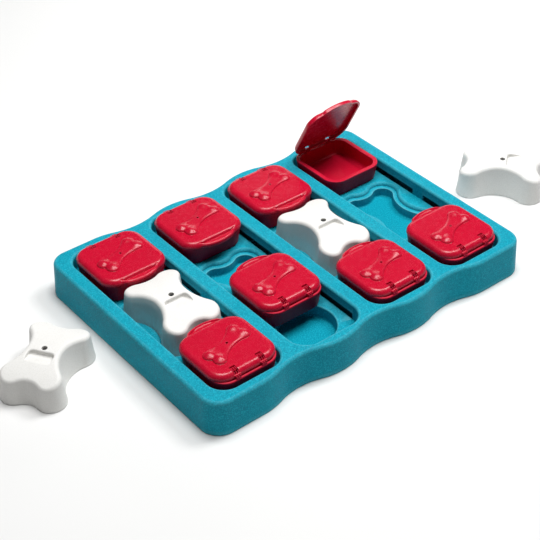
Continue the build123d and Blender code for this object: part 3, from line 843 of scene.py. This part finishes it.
def lidOutlines():
    # the lid's plan with its pull lip, and the plan of its rolled top without it, point for point
    half, width = lidLength / 2, boxWidth - 2 * lid["sideGap"]
    corner, fillet, reach = lid["corner"], lid["lipFillet"], lid["lipReach"]
    x, y = width / 2 - corner, half - corner
    bend = (lid["lipWidth"] ** 2 / 4 + reach**2) / (2 * reach)
    lipCentre = (0, bend - half - reach)
    hollow = tangentCircle(lipCentre, bend + fillet, (x, -y), corner + fillet)
    onCorner = np.degrees(np.arctan2(hollow[1] + y, hollow[0] - x)) % 360
    onLip = np.degrees(np.arctan2(hollow[1] - lipCentre[1], hollow[0])) % 360
    base = joinRuns([
        arcRun((x, y), corner, 0, 90, step=5), arcRun((-x, y), corner, 90, 180, step=5),
        arcRun((-x, -y), corner, 180, 540 - onCorner, step=5),
        arcRun((-hollow[0], hollow[1]), fillet, 360 - onCorner, 360 - onLip, hollow=True, step=5),
        arcRun(lipCentre, bend, 540 - onLip, onLip, step=1.6),
        arcRun((hollow[0], hollow[1]), fillet, onLip - 180, onCorner - 180, hollow=True, step=5),
        arcRun((x, -y), corner, onCorner, 360, step=5)])
    # the same number of points along the plain edge, spread evenly in length
    plain = [arcRun((-x, -y), corner, 540 - onCorner, 270, step=3),
             arcRun((x, -y), corner, 270, onCorner, step=3)]
    spots, rays = (np.concatenate([run[k] for run in plain]) for k in (0, 1))
    reached = lengthAlong(spots)
    start, end = (int(np.argmin(np.linalg.norm(base[0] - spot, axis=1))) for spot in (spots[0], spots[-1]))
    lipIds = np.arange(start, end + 1)
    fraction = lengthAlong(base[0][lipIds])
    fraction = fraction / fraction[-1] * reached[-1]
    topSpots, topRays = base[0].copy(), base[1].copy()
    topSpots[lipIds] = np.stack([np.interp(fraction, reached, spots[:, k]) for k in (0, 1)], 1)
    turned = np.stack([np.interp(fraction, reached, rays[:, k]) for k in (0, 1)], 1)
    topRays[lipIds] = turned / np.linalg.norm(turned, axis=1)[:, None]
    stand = np.linalg.norm(base[0] - topSpots, axis=1)
    blendFrom, blendOver = lid["lipBlend"]
    return base, (topSpots, topRays), eased(np.clip((stand - blendFrom) / blendOver, 0, 1))


def addFigure(shell, under):
    # the raised bone figure, domed over its whole width, and a vent through it; gives both open edges
    plan = turnedRuns([boneOutline(figure["length"], figure["width"], figure["lobe"], figure["sideDip"],
                                   figure["endDip"], step=9)], figure["angle"] - 90)[0]
    foot, rise, spread = figure["foot"], figure["rise"], figure["spread"]
    angle = np.radians(figure["angle"] - 90)
    knobs = [(s * (figure["width"] / 2 - figure["lobe"]), e * (figure["length"] / 2 - figure["lobe"]))
             for s in (-1, 1) for e in (-1, 1)]

    def swell(x, y):
        # each lobe is a knob that stands higher than the shaft between them
        u, v = x * np.cos(angle) + y * np.sin(angle), y * np.cos(angle) - x * np.sin(angle)
        bulge = sum(np.exp(-((u - a) ** 2 + (v - b) ** 2) / figure["knobWidth"] ** 2) for a, b in knobs)
        return figure["shaft"] + figure["knob"] * bulge

    def figureTop(x, y):
        return lidTop + foot + rise * swell(x, y)

    rings = shell.sweep(plan, quarter(foot, lidTop + foot, foot, -90, -180, 2))
    for turn in np.radians(np.arange(10, 90, 10)):
        flat = plan[0] - plan[1] * spread * (1 - np.cos(turn))
        height = rise * np.sin(turn) * (1 + (swell(flat[:, 0], flat[:, 1]) - 1) * np.sin(turn))
        rings.append(shell.loop(flat, lidTop + foot + height))
        shell.skin(rings[-2], rings[-1])
    peak, edge = float(figureTop(0, 0)), figure["ventEdge"]
    hole = circleOutline((0, 0), figure["vent"], step=18)
    holeRings = shell.sweep(hole, quarter(edge, peak - edge, edge, 90, 180, 3) + [(0.0, under)])
    shell.fill([rings[-1], holeRings[0]], spacing=1.0, height=figureTop)
    return rings[0], holeRings[-1]


def makeLid():
    shell = Shell()
    base, top, share = lidOutlines()
    rounding, wall, ease, rim = lid["rounding"], lid["wall"], lid["edgeEase"], lid["lipRim"]
    lipTop, lipRound = lidBottom + lid["lipHeight"], lid["lipRounding"]
    dish, under, fillet = lipTop - lid["lipDish"], lidTop - lid["roof"], lid["underFillet"]

    def between(part, inner, outer):
        # part of the way from the lip's edge to the plain edge
        return (top[0] + top[1] * inner) * part + (base[0] + base[1] * outer) * (1 - part)

    def rolled(turns):
        return [(between(1, offset, 0), z) for turn in turns
                for offset, z in quarter(-rounding, lidTop - rounding, rounding, turn, turn, 0)]

    def blended(plainLevels, lipLevels):
        # the plain edge's section, given over to the lip's where that stands out
        weight = share[:, None]
        return shell.skins([shell.loop(p[0] * (1 - weight) + l[0] * weight, p[1] * (1 - share) + l[1] * share)
                            for p, l in zip(plainLevels, lipLevels)])

    # outer face, from the edge to the top
    lipLevels = [(between(0, 0, -ease), lidBottom), (between(0, 0, 0), lidBottom + ease),
                 (between(0, 0, 0), lipTop - lipRound)]
    lipLevels += [(between(0, 0, o), z) for o, z in quarter(-lipRound, lipTop - lipRound, lipRound, 15, 90)]
    lipLevels += [(between(0, 0, -rim - past), lipTop - drop) for past, drop in lid["rimDrop"]]
    lipLevels += [(between(part, lid["dishEdge"], -rim - past), dish + rise)
                  for part, past, rise in lid["dishRows"]]
    lipLevels += rolled((53, 62, 71, 80, 90))
    plainLevels = [(between(1, -ease, 0), lidBottom), (between(1, 0, 0), lidBottom + ease)]
    outside = blended(plainLevels + rolled(np.linspace(0, 90, len(lipLevels) - 2)), lipLevels)
    # underside, from the roof to the edge
    lipUnder = [(between(1, -wall - fillet, 0), under)]
    lipUnder += [(between(part, inner, outer), under - drop) for part, inner, outer, drop in lid["underRows"]]
    lipUnder += [(between(0, 0, offset), lidBottom + rise) for offset, rise in lid["underFoot"]]
    plainUnder = quarter(-wall - fillet, under - fillet, fillet, 90, 0, 6)
    plainUnder += [(-wall, lidBottom + 2 * ease), (-wall + 2 * ease, lidBottom)]
    below = blended([(between(1, offset, 0), z) for offset, z in plainUnder], lipUnder)
    shell.skin(below[-1], outside[0])
    figureEdge, ventEdge = addFigure(shell, under)
    shell.fill([outside[-1], figureEdge])
    shell.fill([below[0], ventEdge], up=False)
    cutters, over = [], 2.0   # the cutters run past the faces
    for x in (-hinge["spacing"] / 2, hinge["spacing"] / 2):
        # a notch through the edge for the box's hooks, and a shallow window behind it for the lid's ribs
        for length, low in ((hinge["notchLength"], lidBottom - over),
                            (hinge["windowLength"], lidTop - hinge["windowDepth"])):
            cutter = Shell()
            notch = roundedOutline(hinge["notchWidth"], lidLength / 2 - length, lidLength / 2 + 2 * over,
                                   hinge["notchCorner"])
            loops = cutter.sweep(shifted(notch, x), [(0, low), (0, lidTop + over)])
            cutter.fill([loops[0]], up=False)
            cutter.fill([loops[1]])
            cutters.append(newObject("notchCutter", meshOf("notchCutter", cutter.points, cutter.faces)))
    made = finishMesh("boxLid", shell, cutters)
    for cutter in cutters:
        bpy.data.objects.remove(cutter)
    return made


def makePins():
    shell = Shell()
    for x in (-hinge["spacing"] / 2, hinge["spacing"] / 2):
        shell.rod((x, pinY, pinZ), hinge["pinRadius"], hinge["notchWidth"] / 2 + hinge["pinRoot"])
    return finishMesh("lidPins", shell)


# The pieces in place
arrangement = {
    "slidBox": (2, "front"), "travel": 40.2, "openLid": (4, "rear"), "openAngle": 63.0,
    "boneTurns": {"bone_1": 0.0, "bone_3": 0.0, "bone_loose_left": -56.0, "bone_loose_right": 39.0},
}
still = Matrix.Identity(4)
placedPiece("trayMoulding", makeTray(), still, trayPlastic, "tray",
            ["tray"] + [f"trough_{n}" for n in range(1, tray["channels"] + 1)])
for name, mesh in zip(("trayRailRibs", "trayCrossRibs"), makeTrayRibs()):
    placedPiece(name, mesh, still, trayPlastic, "tray")
print("tray made")

boneMesh = makeBone()
for node, turn in arrangement["boneTurns"].items():
    low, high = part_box(node)
    middle = (Vector(low) + Vector(high)) / 2
    place = Matrix.Translation((middle.x, middle.y, low[2])) @ Matrix.Rotation(np.radians(turn), 4, "Z")
    placedPiece("block_" + node, boneMesh, place, bonePlastic, node, [node])
print("bone blocks made")

boxMesh, lidMesh, pinMesh = makeBox(), makeLid(), makePins()
finMesh = rowOfRibs("hingeFins", finSideView(), boxPlastic, finRow)
windowMesh = rowOfRibs("windowRibs", ribSideView(), lidPlastic, finRow)
atPin = Matrix.Translation((0, pinY * toMetres, pinZ * toMetres))
opened = atPin @ Matrix.Rotation(-np.radians(arrangement["openAngle"]), 4, "X") @ atPin.inverted()
for channel in range(1, tray["channels"] + 1):
    for end in ("rear", "front"):
        x, cell, tag = channelXs[channel - 1], (channel, end), f"{channel}_{end}"
        pushed = arrangement["travel"] if cell == arrangement["slidBox"] else 0
        y = cellY if end == "rear" else pushed - cellY
        place = Matrix.Translation((x * toMetres, y * toMetres, 0))
        if end == "front":
            place = place @ Matrix.Rotation(np.pi, 4, "Z")
        held = place @ opened if cell == arrangement["openLid"] else place
        for kind, matrix, material, meshes in (
                ("box", place, boxPlastic, {"foodBox_": boxMesh, "hingeFins_": finMesh}),
                ("lid", held, lidPlastic,
                 {"boxLid_": lidMesh, "lidPins_": pinMesh, "windowRibs_": windowMesh})):
            body = f"{kind}_{tag}"
            nodes = [body]   # the first piece replaces the node, the others are added to it
            for name, mesh in meshes.items():
                placedPiece(name + tag, mesh, matrix, material, body, nodes)
                nodes = []
print("boxes and lids made")

# Floor, light and camera, in metres
stageSet = {
    "floorColour": "#E8E8E7", "floorRoughness": 0.9, "floorSpecular": 0.1,
    "floorSize": 3.0, "floorDrop": 2e-4, "worldColour": "#FFFFFF", "worldStrength": 0.05,
    # place, aim, width, depth and power
    "softboxes": {"overheadSoftbox": ((0.06, 0.06, 1.6), (0, 0, 0), 0.75, 0.75, 25),
                  "rightSoftbox": ((0.68, -0.1, 1.22), (0, 0, 0), 0.4, 0.4, 9),
                  "lowBackSoftbox": ((0.56, 0.65, 0.3), (0, 0, 0.03), 0.5, 0.2, 0.8)},
    "lens": 90.07, "sensor": 36.0, "cameraPlace": (-0.5694, -0.697, 0.7118),
    "right": (0.78059, -0.62499, -0.00822), "down": (-0.38974, -0.4764, -0.78813),
    "ahead": (0.48866, 0.61841, -0.61546),
}
size, z = stageSet["floorSize"], -stageSet["floorDrop"]
floorMesh = bpy.data.meshes.new("studioFloor")
corners = [(-size, -size, z), (size, -size, z), (size, size, z), (-size, size, z)]
floorMesh.from_pydata(corners, [], [(0, 1, 2, 3)])
floorPaint = bpy.data.materials.new("mattPaperSweep")   # matt background paper: even, with no gloss
floorPaint.use_nodes = True
paper = floorPaint.node_tree.nodes["Principled BSDF"].inputs
paper["Base Color"].default_value = linear(stageSet["floorColour"])
paper["Roughness"].default_value = stageSet["floorRoughness"]
paper["Specular IOR Level"].default_value = stageSet["floorSpecular"]
floorMesh.materials.append(floorPaint)
newObject("studioFloor", floorMesh)

scene = bpy.context.scene
scene.view_settings.view_transform = "Standard"
world = bpy.data.worlds.new("studioAir")
world.use_nodes = True
air = world.node_tree.nodes["Background"].inputs
air["Color"].default_value = linear(stageSet["worldColour"])
air["Strength"].default_value = stageSet["worldStrength"]
scene.world = world

for name, (place, aim, width, depth, power) in stageSet["softboxes"].items():
    light = bpy.data.lights.new(name, "AREA")
    light.shape, light.size, light.size_y, light.energy = "RECTANGLE", width, depth, power
    lamp = newObject(name, light)
    lamp.location = place
    lamp.rotation_euler = (Vector(aim) - Vector(place)).to_track_quat("-Z", "Y").to_euler()
    lamp.visible_camera = False

camera = bpy.data.cameras.new("studioCamera")
camera.lens, camera.sensor_width, camera.clip_start = stageSet["lens"], stageSet["sensor"], 0.01
cameraObject = newObject("studioCamera", camera)
right, down, ahead = (Vector(stageSet[way]) for way in ("right", "down", "ahead"))
turn = Matrix((right, -down, -ahead)).transposed().to_4x4()
cameraObject.matrix_world = Matrix.Translation(stageSet["cameraPlace"]) @ turn
scene.camera = cameraObject
print("stage set")
